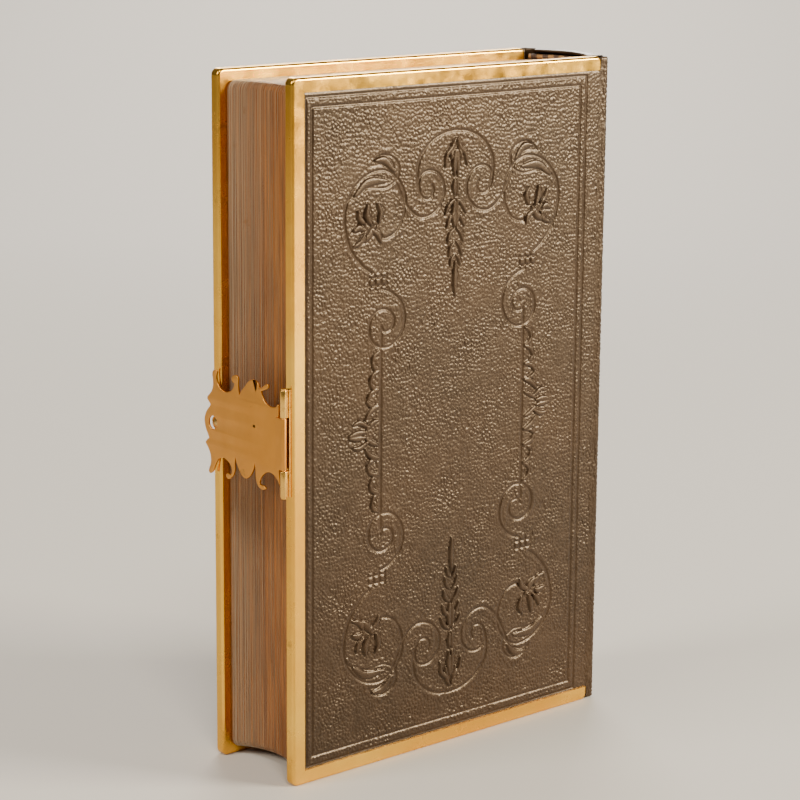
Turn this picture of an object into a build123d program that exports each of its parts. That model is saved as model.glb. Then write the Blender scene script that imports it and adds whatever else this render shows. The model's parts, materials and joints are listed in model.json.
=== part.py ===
from build123d import *
import math
import os

# A small nineteenth-century prayer book, closed and standing on its tail.
# Two leather-covered boards, each held in a brass rim on three sides, hang on leather joints beside
# a sewn block of leaves with a round spine. A brass clasp is hinged to the back board's fore edge
# and closes over a stud in the front board's fore edge.
#
# Millimetres, +Z towards the head. Everything is first drawn in book coordinates: X runs from the
# boards' fore edge (0) to the spine, Y from the back cover (-) to the front cover (+), and Z from the
# tail (0) up. place() then moves it so that the origin is on the surface that the book stands on,
# under the middle of the whole object.

# --- overall sizes ---
board_height = 132.0
board_width = 77.2            # fore edge to the board's spine-side end
book_thickness = 24.0         # outside of one rim to the outside of the other

# --- a cover board and its coverings ---
core_thickness = 1.25         # millboard
leather_thickness = 0.40
pastedown_thickness = 0.15
core_corner = 1.0
core_setback = 0.20           # core's edge to the inside of its rim
sheet_setback = 0.70          # leather's and pastedown's edge to the inside of the rim

# --- brass rims ---
rim_wall = 0.30
rim_return = 2.7              # width of the strip that lies on each face of the board
rim_edge_round = 0.55         # long outer edges
rim_corner = 1.3              # outer corners at head and tail of the fore edge
rim_end_round = 1.2           # rounded end beside the spine
rim_end_setback = 0.2         # rim's end to the board's end
mitre_gap = 0.02

# --- leaves ---
head_square = 2.2             # how far the boards stand past the leaves at the head
tail_square = 1.6             # the same at the tail: the leaves have sagged a little
fore_square = 1.9             # the same at the fore edge
gatherings = 18
fore_edge_hollow = 3.0        # depth of the hollow fore edge, and height of the round spine
end_paper_thickness = 0.20
flyleaf_thickness = 0.20
leaf_gap = 0.05
leaf_spine_setback = 0.2      # loose leaves' hinge line to the board's end
leaf_hinge_strip = 1.5        # glued part of a loose leaf, beside its hinge line
shoulder_gap = 0.2            # board's end to the shoulder of the leaves
shoulder_reach = 0.8          # length of the leaves past the start of the shoulder
shoulder_drop = 1.75          # shoulder's top to the outside of the rim
fold_bulge = 0.20             # rounding of each gathering's fold

# --- sewing, lining and endbands ---
sewing_cords = 4
cord_radius = 0.50
kerf_clearance = 0.05
cord_end_margin = 0.9
lining_thickness = 0.20
lining_clearance = 0.01
lining_end_margin = 6.0
endband_radius = 0.55
endband_setback = 0.9         # spine's surface to the endband's middle

# --- leather joints and spine ---
joint_radius = 0.50           # rolled edge of leather that each cover turns on
joint_clearance = 0.06
joint_depth = 0.50            # joint's middle to the outside of the rim
joint_offset = 1.1            # joint's middle past the board's end
spine_leather_thickness = 0.40
spine_round = 5.0             # height of the spine's outside above the joints
inlay_thickness = 0.35        # card that stiffens the spine
inlay_half_width = 7.0
inlay_end_margin = 1.2
band_count = 5
band_height = 0.60
band_width = 2.0
band_half_width = 9.5
cap_reach = 3.2               # width of the leather turned in over each endband
cap_side_margin = 1.0         # cap's end to the joint

# --- clasp ---
hinge_length = 20.0
barrel_radius = 0.65
barrel_standoff = 0.20         # barrel to the hinge's leaf
hinge_pin_radius = 0.32
hinge_bore_clearance = 0.02
hinge_base_thickness = 0.35
hinge_base_width = 1.20       # fits the flat of the rim's fore edge
knuckle_gap = 0.10
top_knuckle_share = 0.26      # of the barrel's length; the clasp's own knuckle is in the middle
clasp_knuckle_share = 0.49
pin_head_length = 0.25
pin_head_radius = 0.50
clasp_plate_thickness = 0.45
clasp_knuckle_clearance = 0.12 # clasp's knuckle is this much smaller in radius than the fixed ones
clasp_edge_gap = 0.35         # clasp plate's edge to the fixed knuckles
clasp_past_stud = 1.8         # stud's middle to the free end of the plate
clasp_half_height = 10.2
clasp_hole_radius = 1.30
stud_radius = 1.18
stud_play = 0.08              # stud's tip to the inside of the plate
stud_dome = 0.35
stud_shank_radius = 0.40
stud_shank_length = 5.0
stud_shank_clearance = 0.02
dimple_share = 0.42           # of the way from hinge pin to stud
dimple_radius = 0.30
dimple_depth = 0.20

# --- worked out: layers of a cover, as distances from the book's middle plane ---
y_rim_out = book_thickness / 2
y_leather_out = y_rim_out - rim_wall
y_core_out = y_leather_out - leather_thickness
y_core_in = y_core_out - core_thickness
y_paste_in = y_core_in - pastedown_thickness
y_rim_in = y_paste_in - rim_wall
rim_depth = y_rim_out - y_rim_in
y_board = (y_rim_out + y_rim_in) / 2
y_end_paper = y_rim_in - leaf_gap - end_paper_thickness / 2
y_flyleaf = y_end_paper - end_paper_thickness / 2 - leaf_gap - flyleaf_thickness / 2
block_half = y_flyleaf - flyleaf_thickness / 2 - leaf_gap

# --- worked out: leaves and spine ---
block_height = board_height - head_square - tail_square
x_leaf_hinge = board_width - leaf_spine_setback
x_shoulder = board_width + shoulder_gap
x_spine_edge = x_shoulder + shoulder_reach
spine_half = y_rim_out - shoulder_drop
fore_radius = (block_half ** 2 + fore_edge_hollow ** 2) / (2 * fore_edge_hollow)
spine_radius = (spine_half ** 2 + fore_edge_hollow ** 2) / (2 * fore_edge_hollow)
x_spine_centre = x_spine_edge + fore_edge_hollow - spine_radius
lining_radius = spine_radius + fold_bulge + lining_clearance
x_joint = board_width + joint_offset
y_joint = y_rim_out - joint_depth
cover_radius = (y_joint ** 2 + spine_round ** 2) / (2 * spine_round)
x_cover_centre = x_joint + spine_round - cover_radius
cover_inner = cover_radius - spine_leather_thickness / 2
cover_outer = cover_radius + spine_leather_thickness / 2
x_spine_out = x_cover_centre + cover_outer + band_height

# --- worked out: clasp ---
z_middle = board_height / 2
x_barrel = -hinge_base_thickness - barrel_standoff - barrel_radius
x_plate_out = x_barrel
x_plate_in = x_plate_out + clasp_plate_thickness
clasp_reach = 2 * y_board     # hinge pin to stud
clasp_tip = clasp_reach + clasp_past_stud
clasp_start = barrel_radius + clasp_edge_gap
hinge_bore_radius = hinge_pin_radius + hinge_bore_clearance
x_offset = -(x_barrel - barrel_radius + x_spine_out) / 2
y_offset = -(clasp_tip - y_board - y_rim_out) / 2


def place(shape):
    """Book coordinates to the part's own frame."""
    return Pos(x_offset, y_offset, 0) * shape


def on_side(shape, side):
    """A shape drawn for the front cover (side 1), or its mirror image for the back cover (side -1)."""
    return shape if side > 0 else mirror(shape, about=Plane.XZ)


def slab(x0, x1, y0, y1, z0, z1):
    """A box between two corners."""
    middle = Pos((x0 + x1) / 2, (y0 + y1) / 2, (z0 + z1) / 2)
    return middle * Box(x1 - x0, y1 - y0, z1 - z0)


def ring_sector(centre_x, inner, outer, half_angle, z0, z1):
    """A curved strip: the part of a ring within half_angle degrees of +X, standing from z0 to z1."""

    def at(radius, degrees):
        turn = math.radians(degrees)
        return (centre_x + radius * math.cos(turn), radius * math.sin(turn))

    outline = Curve() + [
        ThreePointArc(at(outer, -half_angle), at(outer, 0), at(outer, half_angle)),
        Line(at(outer, half_angle), at(inner, half_angle)),
        ThreePointArc(at(inner, half_angle), at(inner, 0), at(inner, -half_angle)),
        Line(at(inner, -half_angle), at(outer, -half_angle)),
    ]
    return Pos(0, 0, z0) * extrude(make_face(outline), z1 - z0, dir=(0, 0, 1))


def bent_rod(centre_x, path_radius, rod_radius, half_angle, z):
    """A round rod bent to an arc about a vertical axis."""
    section = Plane.XZ * Pos(path_radius, 0) * Circle(rod_radius)
    rod = revolve(section, Axis.Z, revolution_arc=2 * half_angle)
    return Pos(centre_x, 0, z) * Rot(0, 0, -half_angle) * rod


def fore_edge_x(y):
    """Where a leaf at y ends at the hollow fore edge."""
    return fore_square + math.sqrt(fore_radius ** 2 - y ** 2) - (fore_radius - fore_edge_hollow)


def spine_x(y):
    """Where a leaf that reaches the spine at y ends."""
    return x_spine_centre + math.sqrt(spine_radius ** 2 - y ** 2)


def cord_heights():
    """Heights of the sewing cords, evenly spaced up the leaves."""
    pitch = block_height / (sewing_cords + 1)
    return [tail_square + pitch * (i + 1) for i in range(sewing_cords)]


def band_heights():
    """Heights of the raised bands, evenly spaced up the spine."""
    pitch = board_height / (band_count + 1)
    return [pitch * (i + 1) for i in range(band_count)]


# ---------------------------------------------------------------- leaves

def gathering(index):
    """One folded and sewn gathering. It fans out towards the spine to form the shoulders."""
    thickness = 2 * block_half / gatherings
    low = -block_half + index * thickness
    high = low + thickness
    fan = spine_half / block_half
    middle = (low + high) / 2
    fore_low = (fore_edge_x(low), low)
    fore_high = (fore_edge_x(high), high)
    fold_low = (spine_x(low * fan), low * fan)
    fold_high = (spine_x(high * fan), high * fan)
    outline = Curve() + [
        Line(fore_low, (x_shoulder, low)),
        Line((x_shoulder, low), fold_low),
        ThreePointArc(fold_low, (spine_x(middle * fan) + fold_bulge, middle * fan), fold_high),
        Line(fold_high, (x_shoulder, high)),
        Line((x_shoulder, high), fore_high),
        ThreePointArc(fore_high, (fore_edge_x(middle), middle), fore_low),
    ]
    leaves = Pos(0, 0, tail_square) * extrude(make_face(outline), block_height, dir=(0, 0, 1))
    for z in cord_heights():
        leaves -= cord_ring(cord_radius + kerf_clearance, 85, z)
    return leaves


def cord_ring(radius, half_angle, z):
    """The path of one sewing cord, sunk level with the folds."""
    return bent_rod(x_spine_centre, spine_radius + fold_bulge - cord_radius, radius, half_angle, z)


def sewing():
    """The cords that the gatherings are sewn round, in their sawn kerfs."""
    half_angle = math.degrees(math.asin((spine_half - cord_end_margin) / spine_radius))
    return Compound([cord_ring(cord_radius, half_angle, z) for z in cord_heights()])


def spine_lining():
    """Open-weave cloth glued over the folds."""
    half_angle = math.degrees(math.asin(spine_half / lining_radius)) - 1
    low = head_square + lining_end_margin
    return ring_sector(x_spine_centre, lining_radius, lining_radius + lining_thickness,
                       half_angle, low, board_height - low)


def endband(z):
    """A silk-wound roll that sits on the head or the tail of the folds."""
    path_radius = spine_radius - endband_setback
    half_angle = math.degrees(math.asin((spine_half - cord_end_margin) / path_radius))
    return bent_rod(x_spine_centre, path_radius, endband_radius, half_angle, z)


def loose_leaf(y, thickness, side):
    """A single leaf that turns on a line beside the spine, and is glued down along that line."""
    sheet = slab(fore_square, x_leaf_hinge - leaf_hinge_strip,
                 y - thickness / 2, y + thickness / 2, tail_square, board_height - head_square)
    return on_side(sheet, side)


# ---------------------------------------------------------------- spine

def spine_leather():
    """Leather from joint to joint, with raised bands, turned in over the endbands."""
    half_angle = math.degrees(math.asin(y_joint / cover_radius))
    leather = ring_sector(x_cover_centre, cover_inner, cover_outer, half_angle, 0, board_height)
    for y in (-y_joint, y_joint):
        leather += Pos(x_joint, y, z_middle) * Cylinder(joint_radius, board_height)
    band_angle = math.degrees(math.asin(band_half_width / cover_outer))
    for z in band_heights():
        leather += ring_sector(x_cover_centre, cover_radius, cover_outer + band_height,
                               band_angle, z - band_width / 2, z + band_width / 2)
    cap_angle = math.degrees(math.asin((y_joint - cap_side_margin) / cover_radius))
    tail_cap = tail_square - 2 * endband_radius
    head_cap = head_square - 2 * endband_radius
    for low, high in ((0, tail_cap), (board_height - head_cap, board_height)):
        leather += ring_sector(x_cover_centre, cover_inner - cap_reach, cover_radius,
                               cap_angle, low, high)
    return leather


def spine_inlay():
    """Card strip glued inside the spine leather."""
    half_angle = math.degrees(math.asin(inlay_half_width / cover_inner))
    low = head_square + inlay_end_margin
    return ring_sector(x_cover_centre, cover_inner - inlay_thickness, cover_inner,
                       half_angle, low, board_height - low)


# ---------------------------------------------------------------- covers

def cover_plate(y0, y1, setback, x_end, corner):
    """A flat sheet of a cover, set back from the inside of the rim."""
    low = rim_wall + setback
    sheet = slab(low, x_end, y0, y1, low, board_height - low)
    if corner > 0:
        sheet = fillet(sheet.edges().filter_by(Axis.Y).group_by(Axis.X)[0], corner)
    return sheet


def stud_hole():
    """The hole in the front rim and board for the stud's shank."""
    radius = stud_shank_radius + stud_shank_clearance
    length = stud_shank_length + stud_shank_clearance
    return Pos(length / 2, y_board, z_middle) * Rot(0, 90, 0) * Cylinder(radius, length)


def board_core(side):
    """The millboard inside one cover."""
    core = cover_plate(y_core_in, y_core_out, core_setback, board_width, core_corner)
    if side > 0:
        core -= stud_hole()
    return on_side(core, side)


def cover_leather(side):
    """The outer leather of one cover. Its spine edge is hollowed to turn round the joint."""
    sheet = cover_plate(y_core_out, y_leather_out, sheet_setback, x_joint, 0)
    turning = Pos(x_joint, y_joint, z_middle) * Cylinder(joint_radius + joint_clearance, board_height)
    return on_side(sheet - turning, side)


def pastedown(side):
    """The end paper that lines the inside of a cover."""
    sheet = cover_plate(y_paste_in, y_core_in, sheet_setback, x_leaf_hinge, 0)
    return on_side(sheet, side)


def rim_bar(inset, rounding, corner, x_end, end_round):
    """A cover-sized plate with rounded edges: the outside, or with an inset the hollow, of a rim."""
    bar = slab(inset, x_end, y_rim_in + inset, y_rim_out - inset, inset, board_height - inset)
    bar = fillet(bar.edges().filter_by(Axis.Y).group_by(Axis.X)[0], corner)
    if end_round > 0:
        bar = fillet(bar.edges().filter_by(Axis.Y).group_by(Axis.X)[-1], end_round)
    long_edges = [edge for edge in bar.edges().filter_by(Axis.Y, reverse=True)
                  if end_round > 0 or edge.center().X < x_end - 0.001]
    return fillet(long_edges, rounding)


def rim(side):
    """A brass channel round head, fore edge and tail, as three pieces cut to a mitre."""
    x_end = board_width - rim_end_setback
    past = board_width + rim_return
    frame = rim_bar(0, rim_edge_round, rim_corner, x_end, rim_end_round)
    frame -= rim_bar(rim_wall, rim_edge_round - rim_wall, rim_corner - rim_wall, past, 0)
    frame -= slab(rim_return, past, y_rim_in - 1, y_rim_out + 1, rim_return, board_height - rim_return)
    if side > 0:
        frame -= stud_hole()
    out = rim_return
    tip = 2 * rim_return
    tail_outline = Polyline((-out + mitre_gap, -out), (past, -out), (past, tip), (tip + mitre_gap, tip),
                            close=True)
    tail_zone = extrude(Plane.XZ * make_face(tail_outline), 2 * y_rim_out, both=True)
    head_zone = mirror(tail_zone, about=Plane.XY.offset(z_middle))
    fore_outline = Polyline((-out, -out), (tip, tip), (tip, board_height - tip), (-out, board_height + out),
                            close=True)
    fore_zone = extrude(Plane.XZ * make_face(fore_outline), 2 * y_rim_out, both=True)
    return {
        "tail": on_side(frame & tail_zone, side),
        "fore_edge": on_side(frame & fore_zone, side),
        "head": on_side(frame & head_zone, side),
    }


# ---------------------------------------------------------------- clasp

def knuckle_heights():
    """Heights of the gaps between the clasp's own knuckle and the two fixed ones."""
    low = z_middle - hinge_length / 2
    bottom = low + hinge_length * (1 - top_knuckle_share - clasp_knuckle_share)
    return low, bottom, bottom + hinge_length * clasp_knuckle_share, low + hinge_length


def upright_rod(radius, z0, z1):
    """A round rod on the clasp hinge's axis."""
    return Pos(x_barrel, -y_board, (z0 + z1) / 2) * Cylinder(radius, z1 - z0)


def clasp_hinge_base():
    """The fixed half of the clasp's hinge: a narrow leaf on the rim, with a knuckle at each end."""
    low, bottom, top, high = knuckle_heights()
    half = hinge_base_width / 2
    base = slab(-hinge_base_thickness, 0, -y_board - half, -y_board + half, low, high)
    for z0, z1 in ((low, bottom - knuckle_gap / 2), (top + knuckle_gap / 2, high)):
        base += slab(x_barrel, 0, -y_board - half, -y_board + half, z0, z1)
        base += upright_rod(barrel_radius, z0, z1)
        base -= upright_rod(hinge_bore_radius, z0, z1)
    return base


def clasp_hinge_pin():
    """The pin, with a flat head at each end."""
    low, bottom, top, high = knuckle_heights()
    pin = upright_rod(hinge_pin_radius, low, high)
    pin += upright_rod(pin_head_radius, low - pin_head_length, low)
    return pin + upright_rod(pin_head_radius, high, high + pin_head_length)


def clasp_outline():
    """The scalloped outline of the clasp: spread from its hinge edge to its tip, and mirrored."""
    drawn_tip = 22.8
    drawn_start = 1.1
    drawn_half = 10.4

    def at(reach, rise):
        share = (reach - drawn_start) / (drawn_tip - drawn_start)
        y = -y_board + clasp_start + share * (clasp_tip - clasp_start)
        return (y, rise / drawn_half * clasp_half_height)

    curves = [
        ThreePointArc(at(22.8, 0), at(22.65, 1.9), at(22.1, 3.4)),
        ThreePointArc(at(22.1, 3.4), at(22.5, 4.8), at(21.8, 6.3)),
        ThreePointArc(at(21.8, 6.3), at(21.3, 8.2), at(21.2, 10.4)),
        ThreePointArc(at(21.2, 10.4), at(19.4, 7.6), at(16.4, 6.7)),
        ThreePointArc(at(16.4, 6.7), at(15.9, 8.9), at(14.3, 10.0)),
        ThreePointArc(at(14.3, 10.0), at(13.75, 8.2), at(13.3, 6.4)),
        Line(at(13.3, 6.4), at(12.8, 6.4)),
        ThreePointArc(at(12.8, 6.4), at(11.6, 9.2), at(9.1, 10.35)),
        ThreePointArc(at(9.1, 10.35), at(7.7, 9.5), at(6.9, 7.8)),
        ThreePointArc(at(6.9, 7.8), at(6.5, 7.6), at(6.1, 7.8)),
        ThreePointArc(at(6.1, 7.8), at(5.1, 10.1), at(4.5, 7.9)),
        ThreePointArc(at(4.5, 7.9), at(3.5, 7.1), at(2.4, 7.4)),
        ThreePointArc(at(2.4, 7.4), at(1.5, 6.6), at(1.1, 5.2)),
    ]
    upper = Curve() + curves
    lower = Curve() + [mirror(curve, about=Plane.XZ) for curve in curves]
    return make_face(upper + Line(at(1.1, 5.2), at(1.1, -5.2)) + lower)


def clasp_plate():
    """The clasp: an ornamental plate with the middle knuckle of its hinge on its edge."""
    low, bottom, top, high = knuckle_heights()
    blank = Plane.YZ * extrude(clasp_outline(), clasp_plate_thickness)
    plate = Pos(x_plate_out, 0, z_middle) * blank
    z0 = bottom + knuckle_gap / 2
    z1 = top - knuckle_gap / 2
    knuckle = barrel_radius - clasp_knuckle_clearance
    plate += slab(x_barrel - knuckle, x_plate_in, -y_board, -y_board + clasp_start, z0, z1)
    plate += upright_rod(knuckle, z0, z1)
    plate -= upright_rod(hinge_bore_radius, z0, z1)
    across = Rot(0, 90, 0)
    hole = Cylinder(clasp_hole_radius, 3 * clasp_plate_thickness)
    plate -= Pos(x_plate_out, -y_board + clasp_reach, z_middle) * across * hole
    dimple = Cylinder(dimple_radius, 2 * dimple_depth)
    plate -= Pos(x_plate_out, -y_board + dimple_share * clasp_reach, z_middle) * across * dimple
    return plate


def clasp_stud():
    """A round-headed stud in the front board's fore edge. The clasp's hole closes over its head."""
    tip = x_plate_in + stud_play
    seat = tip + stud_dome
    dome_radius = (stud_radius ** 2 + stud_dome ** 2) / (2 * stud_dome)
    half_turn = math.asin(stud_radius / dome_radius) / 2
    on_dome = (tip + dome_radius * (1 - math.cos(half_turn)), dome_radius * math.sin(half_turn))
    profile = Curve() + [
        Line((stud_shank_length, 0), (stud_shank_length, stud_shank_radius)),
        Line((stud_shank_length, stud_shank_radius), (0, stud_shank_radius)),
        Line((0, stud_shank_radius), (0, stud_radius)),
        Line((0, stud_radius), (seat, stud_radius)),
        ThreePointArc((seat, stud_radius), on_dome, (tip, 0)),
        Line((tip, 0), (stud_shank_length, 0)),
    ]
    return Pos(0, y_board, z_middle) * revolve(make_face(profile), Axis.X)


# ---------------------------------------------------------------- the whole book

nodes = {}
for index in range(gatherings):
    nodes[f"gathering_{index + 1:02d}"] = gathering(index)
nodes["sewing_cords"] = sewing()
nodes["spine_lining"] = spine_lining()
nodes["tail_endband"] = endband(tail_square - endband_radius)
nodes["head_endband"] = endband(board_height - head_square + endband_radius)
nodes["spine_leather"] = spine_leather()
nodes["spine_inlay"] = spine_inlay()

for name, side in (("front", 1), ("back", -1)):
    nodes[f"{name}_end_paper"] = loose_leaf(y_end_paper, end_paper_thickness, side)
    nodes[f"{name}_flyleaf"] = loose_leaf(y_flyleaf, flyleaf_thickness, side)
    nodes[f"{name}_board"] = board_core(side)
    nodes[f"{name}_leather"] = cover_leather(side)
    nodes[f"{name}_pastedown"] = pastedown(side)
    for place_name, piece in rim(side).items():
        nodes[f"{name}_rim_{place_name}"] = piece

nodes["clasp_hinge_base"] = clasp_hinge_base()
nodes["clasp_hinge_pin"] = clasp_hinge_pin()
nodes["clasp_plate"] = clasp_plate()
nodes["clasp_stud"] = clasp_stud()

os.makedirs("parts", exist_ok=True)
for name, shape in nodes.items():
    export_step(place(shape), f"parts/{name}.step")

print("front hinge axis", x_joint + x_offset, y_joint + y_offset)
print("back hinge axis", x_joint + x_offset, -y_joint + y_offset)
print("leaf hinge axes", x_leaf_hinge + x_offset, y_end_paper + y_offset, y_flyleaf + y_offset,
      -y_end_paper + y_offset, -y_flyleaf + y_offset)
print("clasp hinge axis", x_barrel + x_offset, -y_board + y_offset, z_middle)
print("stud", x_offset, y_board + y_offset, z_middle)
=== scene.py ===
import json
import math

import bpy
import numpy as np
from mathutils import Matrix, Vector

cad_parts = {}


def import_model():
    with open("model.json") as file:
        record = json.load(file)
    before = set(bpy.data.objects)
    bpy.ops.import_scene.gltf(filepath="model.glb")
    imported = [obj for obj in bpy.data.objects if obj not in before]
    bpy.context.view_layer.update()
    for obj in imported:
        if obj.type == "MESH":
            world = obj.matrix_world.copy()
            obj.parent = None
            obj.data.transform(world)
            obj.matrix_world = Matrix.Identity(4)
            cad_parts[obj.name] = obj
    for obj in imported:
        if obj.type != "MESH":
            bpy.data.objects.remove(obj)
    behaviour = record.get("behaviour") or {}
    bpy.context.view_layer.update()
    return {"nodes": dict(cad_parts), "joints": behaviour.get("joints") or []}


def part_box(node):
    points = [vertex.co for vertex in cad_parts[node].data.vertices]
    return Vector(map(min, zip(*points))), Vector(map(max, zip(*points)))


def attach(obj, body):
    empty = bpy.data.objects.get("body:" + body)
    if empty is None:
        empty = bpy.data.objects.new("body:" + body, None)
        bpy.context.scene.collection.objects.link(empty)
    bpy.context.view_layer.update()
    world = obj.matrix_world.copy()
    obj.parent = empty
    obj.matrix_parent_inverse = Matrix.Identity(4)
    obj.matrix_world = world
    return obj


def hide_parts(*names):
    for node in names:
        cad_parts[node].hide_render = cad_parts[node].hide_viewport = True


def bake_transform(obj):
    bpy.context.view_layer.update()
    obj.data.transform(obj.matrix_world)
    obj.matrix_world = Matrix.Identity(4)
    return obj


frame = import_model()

MM = 0.001
rng = np.random.default_rng(7)

# ------------------------------------------------------------------ book coordinates, in millimetres
# x from the boards' fore edge, y from the middle of the book, z from the tail

rim_lo, rim_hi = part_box("back_rim_fore_edge")
front_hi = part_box("front_rim_fore_edge")[1]
core_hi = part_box("back_board")[1]
X0 = rim_lo[0]
Y0 = (rim_lo[1] + front_hi[1]) / 2
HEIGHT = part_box("spine_leather")[1][2] / MM
WIDTH = (core_hi[0] - X0) / MM
HALF = (front_hi[1] - Y0) / MM
STRIP = (rim_hi[0] - rim_lo[0]) / MM
joints = {j["name"]: j for j in frame["joints"]}
JOINT_X = (joints["front_cover_hinge"]["pos_m"][0] - X0) / MM
JOINT_Y = (joints["front_cover_hinge"]["pos_m"][1] - Y0) / MM
LEATHER_Y = (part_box("front_leather")[1][1] - Y0) / MM


def world(points):
    """Book millimetres to metres in the row frame."""
    p = np.asarray(points, dtype=float) * MM
    p[..., 0] += X0
    p[..., 1] += Y0
    return p


def smoothstep(a, b, x):
    t = np.clip((x - a) / (b - a), 0, 1)
    return t * t * (3 - 2 * t)


def spline(points, step=0.12):
    """A smooth line through the points, as evenly spaced samples."""
    p = np.array(points, dtype=float)
    ext = np.vstack([2 * p[0] - p[1], p, 2 * p[-1] - p[-2]])
    out = []
    for i in range(len(p) - 1):
        a, b, c, d = ext[i:i + 4]
        n = max(2, int(np.linalg.norm(c - b) / step))
        t = np.linspace(0, 1, n, endpoint=False)[:, None]
        out.append(0.5 * (2 * b + (c - a) * t + (2 * a - 5 * b + 4 * c - d) * t ** 2
                          + (3 * b - a - 3 * c + d) * t ** 3))
    out.append(p[-1:])
    return np.vstack(out)


# ------------------------------------------------------------------ materials

def new_material(name):
    mat = bpy.data.materials.new(name)
    mat.use_nodes = True
    nt = mat.node_tree
    return mat, nt, nt.nodes["Principled BSDF"]


def node(nt, kind, **values):
    n = nt.nodes.new(kind)
    for key, value in values.items():
        if key in n.inputs:
            n.inputs[key].default_value = value
        else:
            setattr(n, key, value)
    return n


def coords(nt, scale=(1, 1, 1)):
    tc = node(nt, "ShaderNodeTexCoord")
    mp = node(nt, "ShaderNodeMapping")
    mp.inputs["Scale"].default_value = scale
    nt.links.new(tc.outputs["Object"], mp.inputs["Vector"])
    return mp.outputs["Vector"]


def noise(nt, vec, scale, detail=4.0, rough=0.55):
    n = node(nt, "ShaderNodeTexNoise")
    n.inputs["Scale"].default_value = scale
    n.inputs["Detail"].default_value = detail
    n.inputs["Roughness"].default_value = rough
    nt.links.new(vec, n.inputs["Vector"])
    return n.outputs["Fac"]


def ramp(nt, fac, stops):
    r = node(nt, "ShaderNodeValToRGB")
    els = r.color_ramp.elements
    while len(els) < len(stops):
        els.new(0.5)
    for el, (pos, col) in zip(els, stops):
        el.position = pos
        el.color = (*col, 1) if len(col) == 3 else col
    nt.links.new(fac, r.inputs["Fac"])
    return r.outputs["Color"]


def mix(nt, fac, a, b, blend="MIX"):
    m = node(nt, "ShaderNodeMix", data_type="RGBA", blend_type=blend)
    if hasattr(fac, "is_output"):
        nt.links.new(fac, m.inputs[0])
    else:
        m.inputs[0].default_value = fac
    for socket, value in ((m.inputs[6], a), (m.inputs[7], b)):
        if hasattr(value, "is_output"):
            nt.links.new(value, socket)
        else:
            socket.default_value = (*value, 1)
    return m.outputs[2]


def bump(nt, bsdf, height, distance, strength=1.0, after=None):
    b = node(nt, "ShaderNodeBump")
    b.inputs["Distance"].default_value = distance
    b.inputs["Strength"].default_value = strength
    nt.links.new(height, b.inputs["Height"])
    if after is not None:
        nt.links.new(after, b.inputs["Normal"])
    nt.links.new(b.outputs["Normal"], bsdf.inputs["Normal"])
    return b.outputs["Normal"]


def leather_material(name):
    mat, nt, bsdf = new_material(name)
    vec = coords(nt)
    big = noise(nt, vec, 38, 3)
    mid = noise(nt, vec, 420, 4)
    fine = noise(nt, vec, 3800, 3)
    cells = node(nt, "ShaderNodeTexVoronoi", feature="DISTANCE_TO_EDGE")
    cells.inputs["Scale"].default_value = 1900
    nt.links.new(vec, cells.inputs["Vector"])
    base = ramp(nt, big, [(0.30, (0.013, 0.0058, 0.0024)), (0.55, (0.022, 0.0100, 0.0042)),
                          (0.75, (0.034, 0.0165, 0.0072))])
    worn = ramp(nt, mid, [(0.42, (0.0, 0.0, 0.0)), (0.75, (0.30, 0.30, 0.30))])
    colour = mix(nt, worn, base, (0.052, 0.030, 0.018))
    nt.links.new(colour, bsdf.inputs["Base Color"])
    rough = ramp(nt, mid, [(0.3, (0.29, 0.29, 0.29)), (0.7, (0.40, 0.40, 0.40))])
    nt.links.new(rough, bsdf.inputs["Roughness"])
    first = bump(nt, bsdf, cells.outputs["Distance"], 0.00006, 0.55)
    bump(nt, bsdf, fine, 0.00003, 0.5, first)
    bsdf.inputs["Specular IOR Level"].default_value = 0.55
    bsdf.inputs["Specular Tint"].default_value = (1.0, 0.76, 0.52, 1)
    bsdf.inputs["Coat Weight"].default_value = 0.02
    bsdf.inputs["Coat Roughness"].default_value = 0.35
    return mat


def brass_material(name, bright, dull, brown, rough_lo, rough_hi, brown_from=0.60, scale=60, grain=0.5):
    mat, nt, bsdf = new_material(name)
    vec = coords(nt)
    big = noise(nt, vec, scale, 5, 0.6)
    mid = noise(nt, vec, scale * 9, 5, 0.6)
    fine = noise(nt, vec, 4200, 2)
    base = ramp(nt, big, [(0.35, bright), (0.62, dull)])
    spots = ramp(nt, mid, [(brown_from, (0, 0, 0)), (brown_from + 0.14, (0.75, 0.75, 0.75))])
    nt.links.new(mix(nt, spots, base, brown), bsdf.inputs["Base Color"])
    bsdf.inputs["Metallic"].default_value = 1.0
    nt.links.new(ramp(nt, mid, [(0.3, (rough_lo,) * 3), (0.7, (rough_hi,) * 3)]), bsdf.inputs["Roughness"])
    first = bump(nt, bsdf, big, 0.00018, 0.35)
    bump(nt, bsdf, fine, 0.000006, grain, first)
    return mat


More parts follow.
